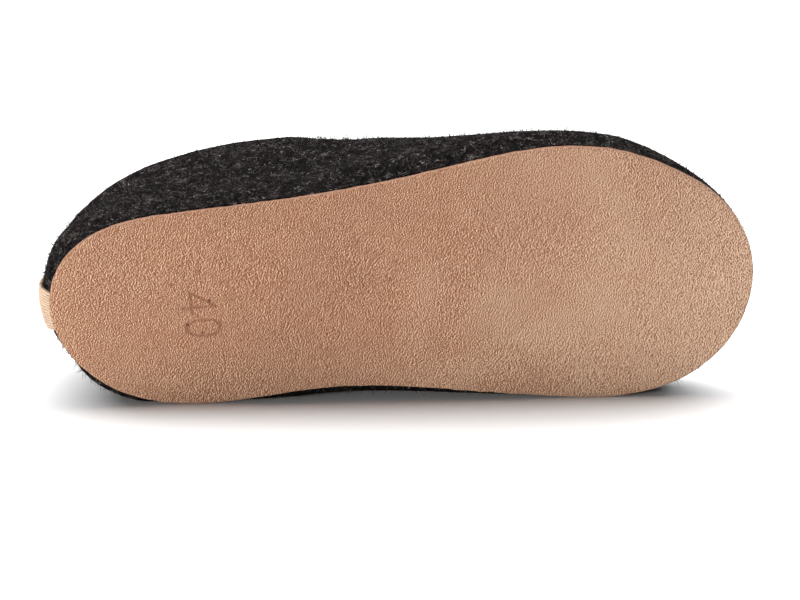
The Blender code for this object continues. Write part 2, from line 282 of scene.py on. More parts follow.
def paint(tree, shader, base, height=None, **bump):
    """A shader's colour and, where a height is given, its bumps."""
    tree.links.new(base, shader.inputs["Base Color"])
    if height is not None:
        bumps = add_node(tree, "ShaderNodeBump", None, height=height, **bump)
        tree.links.new(bumps.outputs[0], shader.inputs["Normal"])


def read_mark(tree, name):
    """A value kept at the points of a piece."""
    return add_node(tree, "ShaderNodeAttribute", {"attribute_name": name}).outputs["Fac"]


def soft_noise(tree, place, scale, detail, roughness=0.5, distortion=0.0, **seed):
    """A soft random value of lumps per metre; w gives it a seed of its own."""
    settings = {"noise_dimensions": "4D" if seed else "3D"}
    return add_node(tree, "ShaderNodeTexNoise", settings, vector=place, scale=scale, detail=detail,
                    roughness=roughness, distortion=distortion, **seed).outputs["Fac"]


def colour_ramp(tree, value, label, stops):
    """Colours along a value, given as places and hex codes."""
    node = add_node(tree, "ShaderNodeValToRGB", {"label": label})
    for k, (where, code) in enumerate(stops):
        stop = node.color_ramp.elements[k] if k < 2 else node.color_ramp.elements.new(where)
        stop.position = where
        stop.color = colour(code)
    tree.links.new(value, node.inputs[0])
    return node.outputs[0]


def stain(tree, base, *layers):
    """A colour with others laid over it: where each one shows, how strongly, and its hex code."""
    for where, strength, code in layers:
        base = blend_colours(tree, times(tree, where, strength), base, colour(code))
    return base


# Strokes of the stamped number in millimetres: along the shoe and across it. Its figures stand
# one beside the other across the heel, with their tops towards the toe.
stamp_depth = 0.00014
stroke_half = 0.00052
FOUR_STROKES = [((49.8, -0.2), (62.8, -0.2)), ((62.8, -0.2), (53.6, -6.0)),
                ((53.6, -6.0), (53.6, 1.8))]
ZERO_CENTRE = (57.4, 8.0)
ZERO_HALF = (6.3, 3.1)
zero_round = 2.4
zero_size = 0.0042
pin_core, pin_rim = 0.0003, 0.0008
PIN_MARKS = [(60.3, -2.6), (51.3, 6.4), (56.6, 10.0)]


def stamp_mark(x, y):
    """How strongly the stamp has pressed the leather at places of the sole, from 0 to 1."""
    far = np.full(x.shape, 1.0)
    for start, end in np.array(FOUR_STROKES) / 1000:
        stroke = end - start
        run = (x - start[0]) * stroke[0] + (y - start[1]) * stroke[1]
        t = np.clip(run / (stroke @ stroke), 0, 1)
        far = np.minimum(far, np.hypot(x - start[0] - t * stroke[0], y - start[1] - t * stroke[1]))
    across = (x * 1000 - ZERO_CENTRE[0]) / ZERO_HALF[0]
    up = (y * 1000 - ZERO_CENTRE[1]) / ZERO_HALF[1]
    ring = (np.abs(across) ** zero_round + np.abs(up) ** zero_round) ** (1 / zero_round)
    far = np.minimum(far, np.abs(ring - 1) * zero_size)
    return 1 - ease(far, stroke_half * 0.6, stroke_half * 1.7)


def pin_mark(x, y):
    """Where the leather has a tiny pit, painted dark as the shade inside it."""
    far = np.full(x.shape, 1.0)
    for pin_x, pin_y in PIN_MARKS:
        far = np.minimum(far, np.hypot(x - pin_x / 1000, y - pin_y / 1000))
    return 1 - ease(far, pin_core, pin_rim)


def spaced(breaks):
    """Places between break points, each stretch with its own number of steps."""
    places = [breaks[0][0]]
    for (start, _), (end, steps) in zip(breaks, breaks[1:]):
        places.extend(np.linspace(start, end, steps + 1)[1:])
    return np.array(places)


def sheet_solid(alongs, shares, offset, bottom, thickness, profile, back_shares):
    """A closed sheet cut to the sole's outline: lower face, rounded edge and upper face."""
    points = []
    rows = []
    count = 0

    def ring(inset):
        sides_found = []
        for side in (outer_side, inner_side):
            edge, normal = edge_at(side, alongs)
            sides_found.append(edge + normal * (offset(side, alongs) - inset)[:, None])
        return sides_found

    def number_points(flat, lift):
        nonlocal count
        height = bottom(flat[..., 0], flat[..., 1]) + lift
        points.append(np.concatenate([flat, height[..., None]], -1).reshape(-1, 3))
        numbers = np.arange(count, count + height.size).reshape(height.shape)
        count += height.size
        return numbers

    def face(inset, lift, face_shares):
        outer, inner = ring(inset)
        s = face_shares[None, :, None]
        return number_points(outer[:, None] * (1 - s) + inner[:, None] * s, lift)

    def edge_line(inset, lift):
        outer, inner = ring(inset)
        return number_points(np.concatenate([outer, inner[::-1], outer[:1]]), lift)

    lower = face(profile[0][0], profile[0][1] * thickness, shares)
    upper = face(profile[-1][0], profile[-1][1] * thickness, back_shares)
    rows.append(grid_faces(lower))
    rows.append(grid_faces(upper, True))
    lines = np.array([edge_line(inset, lift * thickness) for inset, lift in profile])
    rows.append(grid_faces(lines))
    return weld(np.concatenate(points), np.concatenate(rows))


heel_ease = (1 - np.cos(np.linspace(0, math.pi / 2, 34))) * 0.18
toe_ease = 1 - (1 - np.cos(np.linspace(0, math.pi / 2, 44)))[::-1] * 0.24
body = spaced([(0.18, 0), (0.187, 3), (0.238, 42), (0.76, 130)])
sole_alongs = np.concatenate([heel_ease, body[1:], toe_ease[1:]])
sole_shares = spaced([(0.0, 0), (0.38, 26), (0.65, 62), (1.0, 24)])
EDGE_PROFILE = [(0.0006, 0.0), (0.00022, 0.03), (0.00004, 0.12), (0.0, 0.3), (0.00006, 0.55),
                (0.0, 0.8), (0.00018, 0.95), (0.0006, 1.0)]


def cut_offset(side, along):
    """The knife's small unsteadiness along the edge."""
    edge, _ = edge_at(side, along)
    places = np.concatenate([edge, np.zeros((len(edge), 1))], 1)
    return 0.00018 * noise_at(places, 0.0045, 3) + 0.00014 * noise_at(places, 0.0015, 4)


sole_points, sole_faces = sheet_solid(sole_alongs, sole_shares, cut_offset, ground_lift,
                                      sole_thickness, EDGE_PROFILE, np.linspace(0, 1, 9))
ground = ground_lift(sole_points[:, 0], sole_points[:, 1])
edge_radius = 0.0005
under = 1 - share(sole_points[:, 2] - ground, 0.0, edge_radius)
stamp = stamp_mark(sole_points[:, 0], sole_points[:, 1]) * under
# Three tiny pits, painted dark: painted shade inside them.
pit_shade_mark = pin_mark(sole_points[:, 0], sole_points[:, 1]) * under
nap = 0.00006 * noise_at(sole_points, 0.0021, 1) + 0.00007 * noise_at(sole_points, 0.012, 2)
sole_points[:, 2] += (stamp_depth * stamp + np.maximum(nap, -0.0001) + 0.00007) * under
cut_edge = 1 - under
outsole = lay_down("suede_outsole", sole_points, sole_faces,
                   {"stamp": stamp, "pin": pit_shade_mark, "cut": cut_edge,
                    "along": sole_points[:, 0] / sole_length,
                    "across": sole_points[:, 1] / ball_width})

# Suede split, undyed tan and brushed: no gloss at all, a short nap that shows as pale crumbs over
# redder hollows about half a millimetre apart, greyer and paler where it has been pressed. The
# hollows are painted darker and the crumbs paler, partly their own colour and partly painted shade
# and painted highlight. The side of each crumb that leans to the light is painted paler, and the
# other side darker.
nap_lumps = 1950.0
nap_crumbs = 1750.0
nap_fibres = 3000.0
nap_lean = math.radians(28)
nap_stretch = (0.96, 1.0, 1.16)
light_side_step = (-0.00012, 0.0, 0.00014)
nap_relief = 0.00042
suede, tree, shader = new_finish("brushed_suede_split", Roughness=0.95, Sheen_Weight=0.08,
                                 Sheen_Roughness=0.6, Specular_IOR_Level=0.1)
place = add_node(tree, "ShaderNodeTexCoord").outputs["Object"]
# The cut edge is painted dark: painted shade for the felt's shadow line along it and against the
# overhead light on it.
along, across, stamped, pit_shade, cut_edge_shade = (
    read_mark(tree, mark) for mark in ("along", "across", "stamp", "pin", "cut"))
lean = add_node(tree, "ShaderNodeMapping", None, vector=place, rotation=(0.0, nap_lean, 0.0),
                scale=nap_stretch).outputs[0]


def nap_height(tree, place):
    """Height of the brushed nap: soft lumps with rounder crumbs on them."""
    lump = times(tree, soft_noise(tree, place, nap_lumps, 1.0), 0.72)
    cell = add_node(tree, "ShaderNodeTexVoronoi", None, vector=place, scale=nap_crumbs)
    round_crumb = times(tree, cell.outputs["Distance"], -0.34)
    return calculate(tree, "ADD", calculate(tree, "ADD", lump, round_crumb), 0.30)


crumb = nap_height(tree, lean)
beside = add_node(tree, "ShaderNodeVectorMath", {"operation": "ADD"}, vector=lean)
beside.inputs[1].default_value = light_side_step
crumb_light_side = calculate(tree, "SUBTRACT", crumb, nap_height(tree, beside.outputs[0]))
fine = soft_noise(tree, lean, nap_fibres, 1.5, 0.6)
cloud = soft_noise(tree, place, 22.0, 4.0, 0.6, 0.6)
blotch = soft_noise(tree, place, 36.0, 3.0, 0.55, w=3.0)
REGIONS = [(0.0, "#a9765b"), (0.2, "#996347"), (0.42, "#854c32"), (0.6, "#a07155"),
           (0.78, "#c9a389"), (1.0, "#efccb2")]
tan = colour_ramp(tree, along, "heel to toe", REGIONS)
pressed = times(tree, ramp(tree, cloud, 0.44, 0.66), ramp(tree, along, 0.36, 0.68))
redder = times(tree, ramp(tree, blotch, 0.42, 0.68), ramp(tree, along, 1.0, 0.3, 0.35, 1.0))
# Painted shade on the outer side, which lies uppermost, and painted light on the inner side, which
# lies on the floor, evening out the light that falls from above.
outer_side_painted_shade = ramp(tree, across, 0.15, -0.35)
inner_side_painted_light = ramp(tree, across, 0.10, 0.40)
# Partly the nap's own redder hollows and paler crumbs, partly painted shade in the hollows and
# painted highlight on the crumbs.
hollow_tone_and_shade = ramp(tree, crumb, 0.52, 0.40)
crumb_tone_and_highlight = ramp(tree, crumb, 0.53, 0.63)
# Painted highlight on the side of each crumb that faces the light, painted shade on the side away
# from it.
tip = ramp(tree, crumb_light_side, 0.01, 0.12)
root = ramp(tree, crumb_light_side, 0.0, -0.11)
skin = stain(tree, tan, (redder, 0.6, "#9b5c40"), (pressed, 0.55, "#c2b098"),
             (outer_side_painted_shade, 0.30, "#7f4a30"), (inner_side_painted_light, 0.22, "#d9b79c"),
             (hollow_tone_and_shade, 0.8, "#7d4529"), (crumb_tone_and_highlight, 0.6, "#e6bf9c"), (tip, 0.75, "#f3d0ae"),
             (root, 0.95, "#7a4328"), (ramp(tree, fine, 0.42, 0.62), 0.16, "#d9b394"),
             (stamped, 0.55, "#7a4a35"), (pit_shade, 0.8, "#3a2018"), (cut_edge_shade, 0.85, "#6f4b37"))
relief = calculate(tree, "ADD", crumb, times(tree, fine, 0.45))
coarse = ramp(tree, cloud, 0.7, 0.35, 0.45, 1.0)
paint(tree, shader, skin, relief, strength=coarse, distance=nap_relief)
outsole.data.materials.append(suede)
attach(outsole, "root")
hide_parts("outsole")


# The felt upper: one thick wool felt wall, pressed on a last, closed at heel and toe and open at
# the collar. It stands on the sole, swells a little over its edge and lies flat on the ground on
# its inner side. The collar is a plain cut edge, rounded by wear.
felt_wall = 0.0040
seam_gap = 0.0003
heel_height = 0.056
side_height = 0.060
instep_height = 0.076
toe_tip_height = 0.009
throat_reach = 0.124
throat = throat_reach / sole_length
swell_height = 0.013
flare_height = 0.046
upright_foot = 0.0012
front_start = 0.25
throat_foot = 0.52
nose_start = 0.76
rim_round = 0.0016
heel_bearing, ball_bearing = 0.20, 0.79

Section = namedtuple("Section", "along ridge square centre")
SECTIONS = [
    Section(0.00, 1.50, 6.0, -0.014),
    Section(0.20, 1.50, 6.0, 0.000),
    Section(0.34, 1.27, 4.2, 0.015),
    Section(0.45, 1.03, 3.05, 0.030),
    Section(0.52, 0.895, 2.95, 0.040),
    Section(0.60, 0.77, 2.85, 0.050),
    Section(0.70, 0.65, 2.75, 0.060),
    Section(0.80, 0.560, 2.6, 0.065),
    Section(0.90, 0.470, 2.4, 0.060),
    Section(1.00, 0.380, 2.3, 0.044),
]
Wall = namedtuple("Wall", "along outer_foot outer_swell outer_rim inner_foot inner_swell inner_rim")
WALLS = [
    Wall(0.00, -0.018, 0.028, -0.040, -0.018, 0.028, -0.040),
    Wall(0.05, -0.006, 0.028, -0.028, 0.020, 0.032, -0.026),
    Wall(0.09, 0.000, 0.026, 0.000, 0.024, 0.032, -0.008),
    Wall(0.14, 0.004, 0.026, 0.034, 0.022, 0.036, 0.008),
    Wall(0.22, 0.004, 0.028, 0.072, 0.010, 0.050, 0.030),
    Wall(0.33, 0.004, 0.030, 0.090, 0.030, 0.095, 0.100),
    Wall(0.45, 0.004, 0.050, 0.106, 0.030, 0.095, 0.100),
    Wall(0.60, 0.003, 0.052, 0.066, 0.018, 0.070, 0.075),
    Wall(0.75, 0.000, 0.020, 0.020, 0.002, 0.035, 0.035),
    Wall(0.90, -0.002, 0.012, 0.012, -0.002, 0.012, 0.012),
    Wall(1.00, -0.004, 0.006, 0.006, -0.004, 0.006, 0.006),
]


def table_value(rows, column, along):
    """One column of a table on a smooth curve through its rows."""
    place = np.array([row.along for row in rows])
    value = np.array([getattr(row, column) for row in rows])
    slope = np.gradient(value, place)
    i = np.clip(np.searchsorted(place, along) - 1, 0, len(rows) - 2)
    span = place[i + 1] - place[i]
    t = np.clip((along - place[i]) / span, 0.0, 1.0)
    from_value = (1 + 2 * t) * (1 - t) ** 2 * value[i] + t * (1 - t) ** 2 * span * slope[i]
    to_value = t ** 2 * (3 - 2 * t) * value[i + 1] - t ** 2 * (1 - t) * span * slope[i + 1]
    return from_value + to_value


def bearing_room(along):
    """How far the felt may stand out on the inner side before it passes the floor line."""
    heel_edge, _ = edge_at(inner_side, heel_bearing)
    ball_edge, _ = edge_at(inner_side, ball_bearing)
    slope = (ball_edge[1] - heel_edge[1]) / (ball_edge[0] - heel_edge[0])
    edge, normal = edge_at(inner_side, along)
    line = heel_edge[1] + slope * (edge[..., 0] - heel_edge[0])
    return (line - edge[..., 1]) / np.maximum(normal[..., 1], 0.3)


def soft_smaller(one, other, blend):
    """The smaller of two lengths, with a soft change from one to the other."""
    return 0.5 * (one + other - np.sqrt((one - other) ** 2 + blend ** 2))


def wall_offset(side, along, height):
    """How far the felt's outer face stands outside the sole's edge at a height above the sole."""
    name = "outer" if side == outer_side else "inner"
    foot, swell, rim = (ball_width * table_value(WALLS, name + level, along)
                        for level in ("_foot", "_swell", "_rim"))
    if side == inner_side:
        room = bearing_room(along)
        foot, swell, rim = (soft_smaller(value, room, soft)
                            for value, soft in ((foot, 0.001), (swell, 0.001), (rim, 0.0025)))
    rise = 1 - (1 - share(height, upright_foot, swell_height)) ** 2
    return foot + (swell - foot) * rise + (rim - swell) * ease(height, swell_height, flare_height)


def ridge_height(along):
    """Height of the last's ridge above the ground, with a round nose at the toe."""
    ridge = instep_height * table_value(SECTIONS, "ridge", along)
    nose = (1 - share(along, nose_start, 1.0) ** 2.2) ** (1 / 1.8)
    tip = toe_tip_height + toe_spring
    return tip + (ridge - tip) * nose


def above_sole(x, y):
    """Height just above the sole's upper face."""
    return ground_lift(x, y) + sole_thickness + seam_gap


def felt_point(side, along, angle):
    """Points on the felt's outer face: stations of the last and angles up its arch."""
    along, angle = np.broadcast_arrays(np.asarray(along, float), np.asarray(angle, float))
    edge, normal = edge_at(side, along)
    centre = ball_width * table_value(SECTIONS, "centre", along)
    square = table_value(SECTIONS, "square", along)
    foot = above_sole(edge[..., 0], edge[..., 1])
    height = ridge_height(along) - foot
    cosine = np.maximum(np.cos(angle), 0.0)
    sine = np.maximum(np.sin(angle), 0.0)
    reach = (cosine ** square + sine ** square) ** (-1 / square)
    width_share = reach * cosine
    up = height * reach * sine
    y = centre + (edge[..., 1] - centre) * width_share
    offset = wall_offset(side, along, up) * width_share
    x = edge[..., 0] + normal[..., 0] * offset
    return np.stack([x, y + normal[..., 1] * offset, foot + up], -1)


def angle_at_height(side, along, height):
    """The angle up the arch at which the felt reaches a height above the ground."""
    edge, _ = edge_at(side, along)
    foot = above_sole(edge[..., 0], edge[..., 1])
    square = table_value(SECTIONS, "square", along)
    up = np.clip((height - foot) / (ridge_height(along) - foot), 0.0, 1.0)
    return np.arctan2(up, (1 - up ** square) ** (1 / square))


def collar_height(along):
    """Height of the collar: level round the heel, then rising to the throat."""
    side = heel_height + (side_height - heel_height) * ease(along, 0.02, front_start)
    climb = share(along, front_start, throat) ** 1.5
    return side + (ridge_height(np.array(throat)) - side_height) * climb


def front_line(count, samples=480):
    """Stations and angles evenly spaced round the front of the opening, side to throat."""
    alongs = front_start + (throat - front_start) * (1 - np.linspace(1, 0, samples) ** 4)
    angles = angle_at_height(outer_side, alongs, collar_height(alongs))
    points = felt_point(outer_side, alongs, angles)
    arc = arc_length(points)
    even = np.linspace(0, arc[-1], count + 1)
    return np.interp(even, arc, alongs), np.interp(even, arc, angles)


def felt_columns(heel_count, front_count, vamp_count):
    """Foot station, top station and top angle of each column of the felt."""
    heel = front_start * (1 - np.cos(0.5 * math.pi * np.arange(heel_count) / heel_count))
    heel_angle = angle_at_height(outer_side, heel, collar_height(heel))
    front, front_angle = front_line(front_count)
    front_foot = front_start + (throat_foot - front_start) * np.arange(front_count) / front_count
    t = np.sin(0.5 * math.pi * np.arange(vamp_count + 1) / vamp_count)
    foot = np.concatenate([heel, front_foot, throat_foot + (1 - throat_foot) * t])
    top = np.concatenate([heel, front[:-1], throat + (1 - throat) * t])
    angle = np.concatenate([heel_angle, front_angle[:-1], np.full(vamp_count + 1, 0.5 * math.pi)])
    return foot, top, angle


def felt_grid(side, columns, rows):
    """Points of one side of the felt, a column at each station, from the sole up."""
    foot, top, top_angle = columns
    edge, _ = edge_at(side, foot)
    foot_angle = angle_at_height(side, foot, above_sole(edge[..., 0], edge[..., 1]) + upright_foot)
    t = np.linspace(0, 1, rows)[None, :]
    along = foot[:, None] + (top - foot)[:, None] * t
    angle = foot_angle[:, None] + (top_angle - foot_angle)[:, None] * t
    first = felt_point(side, foot, np.zeros(len(foot)))[:, None]
    return np.concatenate([first, felt_point(side, along, angle)], 1)


# Soft troughs and ridges of the felt, in the shoe's millimetres: the side they are on, where they
# start and end as (along, up), their half-width and their depth. A minus depth is a ridge.
Crease = namedtuple("Crease", "side start end half_width depth")
CREASES = [
    Crease(outer_side, (100, 62), (128, 44), 6.5, 0.9),
    Crease(outer_side, (121, 64), (152, 40), 5.0, -0.5),
    Crease(outer_side, (132, 60), (176, 30), 7.0, 0.7),
    Crease(outer_side, (24, 44), (62, 36), 8.0, 0.7),
    Crease(outer_side, (70, 38), (96, 18), 9.0, 0.6),
    Crease(inner_side, (100, 62), (124, 44), 6.0, 0.8),
    Crease(inner_side, (126, 60), (168, 34), 7.0, 0.6),
    Crease(inner_side, (26, 42), (60, 34), 8.0, 0.5),
]


# Where the pressed felt stands out a little more, in millimetres: side, place, half-width, amount.
FULLER = [(outer_side, 215, 26, 1.3), (outer_side, 9, 9, 1.3)]


def crease_depth(points):
    """How deep the creases lie at points of the felt."""
    depth = np.zeros(len(points))
    middle = ball_width * table_value(SECTIONS, "centre", np.clip(points[:, 0] / sole_length, 0, 1))
    for crease in CREASES:
        start = np.array(crease.start) / 1000
        line = np.array(crease.end) / 1000 - start
        place = points[:, [0, 2]] - start
        t = np.clip(place @ line / (line @ line), 0, 1)
        far = np.linalg.norm(place - t[:, None] * line, axis=1)
        reach = ease((points[:, 1] - middle) * crease.side, -0.002, 0.012)
        taper = np.sin(math.pi * np.clip(t, 0.04, 0.96)) ** 0.5
        trough = np.exp(-(far * 1000 / crease.half_width) ** 2)
        depth += crease.depth / 1000 * trough * reach * taper
    return depth


def point_normals(points, faces):
    """Outward normals at the points of a mesh of four-cornered faces."""
    a, b, c, d = (points[faces[:, k]] for k in range(4))
    face_normal = np.cross(c - a, d - b)
    normals = np.zeros_like(points)
    for k in range(4):
        np.add.at(normals, faces[:, k], face_normal)
    return normals / np.maximum(np.linalg.norm(normals, axis=1), 1e-12)[:, None]


heel_count, front_count, vamp_count, felt_rows = 44, 64, 84, 54
columns = felt_columns(heel_count, front_count, vamp_count)
grids = [felt_grid(side, columns, felt_rows) for side in (outer_side, inner_side)]
shape = grids[0].shape[:2]
numbers = np.arange(2 * shape[0] * shape[1]).reshape(2, *shape)
faces = np.concatenate([grid_faces(numbers[0]), grid_faces(numbers[1], True)])
points, number = merge(np.concatenate([grid.reshape(-1, 3) for grid in grids]), 0.00001)
numbers = number[numbers]
faces = number[faces]
normals = point_normals(points, faces)
if np.sum(normals[:, :2] * (points[:, :2] - [sole_length / 2, 0.0])) < 0:
    faces = faces[:, ::-1]
    normals = -normals

throat_column = heel_count + front_count
rim_loop = np.concatenate([numbers[0, :throat_column + 1, -1],
                           numbers[1, throat_column - 1:0:-1, -1]])
foot_loop = np.concatenate([numbers[0, :, 0], numbers[1, -2:0:-1, 0]])

# The nearest place of the rim to every point, and the way up out of the felt there.
near_rim = kdtree.KDTree(len(rim_loop))
for k, v in enumerate(rim_loop):
    near_rim.insert(points[v], k)
near_rim.balance()
_, rim_number, rim_far = (np.array(found) for found in zip(*map(near_rim.find, points)))
rim_tangent = points[np.roll(rim_loop, -1)] - points[np.roll(rim_loop, 1)]
rim_up = unit(np.cross(rim_tangent, normals[rim_loop]))
if rim_up[0, 2] < 0:
    rim_up = -rim_up

# The felt's own unevenness, its creases and its fuller places, none of them at the sole's edge and
# few where it lies on the floor. Then the rim, lowered a little by wear.
above = points[:, 2] - ground_lift(points[:, 0], points[:, 1]) - sole_thickness
free = ease(above, 0.001, 0.012) * ease(np.hypot(points[:, 0], points[:, 1]), 0.010, 0.022)
floor_side = ease(points @ np.array(lying)[2, :3] + lying[2][3], 0.0, 0.010)
uneven = 0.00042 * noise_at(points, 0.030, 11) + 0.00022 * noise_at(points, 0.011, 12)
uneven += 0.00008 * noise_at(points, 0.004, 13)
for side, middle, half_width, extra in FULLER:
    over = np.exp(-((points[:, 0] * 1000 - middle) / half_width) ** 2)
    uneven += extra / 1000 * over * ease(points[:, 1] * side, 0.0, 0.014)
moved = (uneven - 0.0001 - crease_depth(points)) * free * (0.15 + 0.85 * floor_side)
points = points + normals * moved[:, None]
points -= rim_up[rim_number] * (rim_round * np.maximum(0, 1 - rim_far / 0.010) ** 2)[:, None]
normals = point_normals(points, faces)

# The wall's inner face, the rounded rim that joins both faces, and the foot.
inner_points = points - normals * felt_wall
inner_start = len(points)
rim_steps = 7
turn = math.pi * np.arange(1, rim_steps)[:, None, None] / rim_steps
side_share = np.copysign(np.abs(np.cos(turn)) ** 0.75, np.cos(turn))
rim = 0.5 * (points[rim_loop] + inner_points[rim_loop])
rim = rim + normals[rim_loop] * felt_wall / 2 * side_share
rim = rim + rim_up * rim_round * np.sin(turn) ** 0.75
rim_numbers = 2 * inner_start + np.arange(rim.size // 3).reshape(rim.shape[:2])
rim_lines = [rim_loop, *rim_numbers, rim_loop + inner_start]
foot_lines = [foot_loop + inner_start, foot_loop]
rim_lines, foot_lines = (np.array([np.append(line, line[0]) for line in lines])
                         for lines in (rim_lines, foot_lines))
all_points = [points, inner_points, rim.reshape(-1, 3)]
all_faces = [faces, faces[:, ::-1] + inner_start]
wall_faces = np.concatenate([grid_faces(rim_lines), grid_faces(foot_lines)])


def faces_agree(one_faces, other_faces):
    """Whether neighbouring faces run along a shared edge in opposite ways, as they have to."""
    used = {(int(f[i - 1]), int(f[i])) for f in one_faces for i in range(4)}
    return not any((int(f[i - 1]), int(f[i])) in used for f in other_faces for i in range(4))


if not faces_agree(faces, wall_faces):
    wall_faces = wall_faces[:, ::-1]
all_faces.append(wall_faces)
felt_upper = lay_down("felt_upper", *weld(np.concatenate(all_points), np.concatenate(all_faces)))

# Wool felt, dyed charcoal with undyed hairs through it: dull, dark and warm, with short crossing
# hairs in pale and mid grey, drawn a little thicker than real wool so that they show.
felt, tree, shader = new_finish("charcoal_wool_felt", Roughness=1.0, Specular_IOR_Level=0.02)
place = add_node(tree, "ShaderNodeTexCoord").outputs["Object"]


def crossing_hairs(tree, place, size, width, patches, low, high, seed):
    """Thin crooked lines, where a soft random value passes its middle, in some patches only."""
    value = soft_noise(tree, place, size, 1.5, 0.5, 1.2, w=seed)
    away = calculate(tree, "ABSOLUTE", calculate(tree, "SUBTRACT", value, 0.5))
    shows = ramp(tree, soft_noise(tree, place, patches, 2.0, w=seed + 6.0), low, high)
    return times(tree, ramp(tree, away, width, width * 0.2), shows)


pale = crossing_hairs(tree, place, 260.0, 0.018, 330.0, 0.5, 0.66, 1.0)
mid = crossing_hairs(tree, place, 420.0, 0.03, 260.0, 0.42, 0.62, 2.0)
warm = crossing_hairs(tree, place, 330.0, 0.03, 200.0, 0.48, 0.66, 3.0)
cloud = soft_noise(tree, place, 90.0, 4.0, 0.65)
tuft = soft_noise(tree, place, 650.0, 3.0, 0.7)
wool = blend_colours(tree, ramp(tree, cloud, 0.3, 0.7), colour("#080607"), colour("#110f0f"))
wool = stain(tree, wool, (ramp(tree, tuft, 0.44, 0.64), 0.45, "#272423"), (warm, 0.5, "#584d46"),
             (mid, 0.6, "#5d5957"), (pale, 0.75, "#8a8581"))
raised = calculate(tree, "ADD", times(tree, pale, 0.4), times(tree, mid, 0.3))
pile = calculate(tree, "ADD", tuft, raised)
paint(tree, shader, wool, pile, strength=0.8, distance=0.0007)
felt_upper.data.materials.append(felt)
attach(felt_upper, "root")
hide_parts("upper")


# Loose wool hairs that stand off the felt and fray its outline: short bent hairs, most of them
# lying close to the surface in any direction. They are the felt's own wool, and nothing fixes them.
def random_value(tree, low, high, seed):
    """A random number for each hair."""
    node = add_node(tree, "FunctionNodeRandomValue", {"data_type": "FLOAT"}, min=low, max=high,
                    seed=seed)
    return node.outputs[1]


def fuzz_tree():
    """Geometry nodes that set bent hairs on a surface."""
    tree = bpy.data.node_groups.new("felt_fuzz", "GeometryNodeTree")
    tree.interface.new_socket("Geometry", in_out="INPUT", socket_type="NodeSocketGeometry")
    for name, kind in (("hairs per square metre", "Float"), ("hair length", "Float"),
                       ("hair radius", "Float"), ("least lean", "Float"), ("most lean", "Float"),
                       ("seed", "Int"), ("wool", "Material")):
        tree.interface.new_socket(name, in_out="INPUT", socket_type="NodeSocket" + kind)
    tree.interface.new_socket("Geometry", in_out="OUTPUT", socket_type="NodeSocketGeometry")
    given = tree.nodes.new("NodeGroupInput").outputs
    spread = add_node(tree, "GeometryNodeDistributePointsOnFaces", None, mesh=given["Geometry"],
                      density=given["hairs per square metre"], seed=given["seed"])
    bend = add_node(tree, "GeometryNodeCurveQuadraticBezier", None, resolution=3,
                    start=(0.0, 0.0, -0.15), middle=(0.0, 0.12, 0.45), end=(0.34, 0.06, 0.9))
    where = add_node(tree, "GeometryNodeSplineParameter").outputs["Factor"]
    thin = calculate(tree, "SUBTRACT", 1.0, times(tree, where, 0.7))
    thick = calculate(tree, "DIVIDE", given["hair radius"], given["hair length"])
    radius = times(tree, thin, thick)
    round_hair = add_node(tree, "GeometryNodeCurvePrimitiveCircle", None, resolution=3, radius=1.0)
    sized = add_node(tree, "GeometryNodeSetCurveRadius", None, curve=bend.outputs[0], radius=radius)
    hair = add_node(tree, "GeometryNodeCurveToMesh", None, curve=sized.outputs[0],
                    profile_curve=round_hair.outputs[0])
    if "Scale" in hair.inputs:
        tree.links.new(radius, hair.inputs["Scale"])
    hair.inputs["Fill Caps"].default_value = True
    tilt = random_value(tree, given["least lean"], given["most lean"], 3)
    spin = random_value(tree, 0.0, 2 * math.pi, 5)
    turn = {"rotation_type": "AXIS_ANGLE", "space": "LOCAL"}
    turned = add_node(tree, "FunctionNodeRotateEuler", turn, rotation=spread.outputs["Rotation"],
                      axis=(0.0, 0.0, 1.0), angle=spin)
    leaned = add_node(tree, "FunctionNodeRotateEuler", turn, rotation=turned.outputs[0],
                      axis=(1.0, 0.0, 0.0), angle=tilt)
    scale = times(tree, random_value(tree, 0.55, 1.3, 8), given["hair length"])
    placed = add_node(tree, "GeometryNodeInstanceOnPoints", None, points=spread.outputs["Points"],
                      instance=hair.outputs[0], rotation=leaned.outputs[0], scale=scale)
    tone = random_value(tree, 0.0, 1.0, 13)
    toned = add_node(tree, "GeometryNodeStoreNamedAttribute",
                     {"data_type": "FLOAT", "domain": "INSTANCE"},
                     geometry=placed.outputs[0], name="tone", value=tone)
    real = add_node(tree, "GeometryNodeRealizeInstances", None, geometry=toned.outputs[0])
    finished = add_node(tree, "GeometryNodeSetMaterial", None, geometry=real.outputs[0],
                        material=given["wool"])
    result = tree.nodes.new("NodeGroupOutput")
    tree.links.new(finished.outputs[0], result.inputs[0])
    return tree


hair_growth = fuzz_tree()


def grow_fuzz(name, surface_points, surface_faces, density, length, radius, lean, seed, wool):
    """Hairs on a surface as one plain mesh object; lean is the least and the most, in degrees."""
    surface = lay_down(name + "_ground", surface_points, surface_faces)
    settings = {"hairs per square metre": density, "hair length": length, "hair radius": radius,
                "least lean": math.radians(lean[0]), "most lean": math.radians(lean[1]),
                "seed": seed, "wool": wool}
    grower = surface.modifiers.new("fuzz", "NODES")
    grower.node_group = hair_growth
    for item in hair_growth.interface.items_tree:
        if item.name in settings and item.in_out == "INPUT":
            grower[item.identifier] = settings[item.name]
    depsgraph = bpy.context.evaluated_depsgraph_get()
    mesh = bpy.data.meshes.new_from_object(surface.evaluated_get(depsgraph), depsgraph=depsgraph)
    surface.modifiers.clear()
    bpy.data.objects.remove(surface)
    mesh.name = name
    return show(name, mesh)


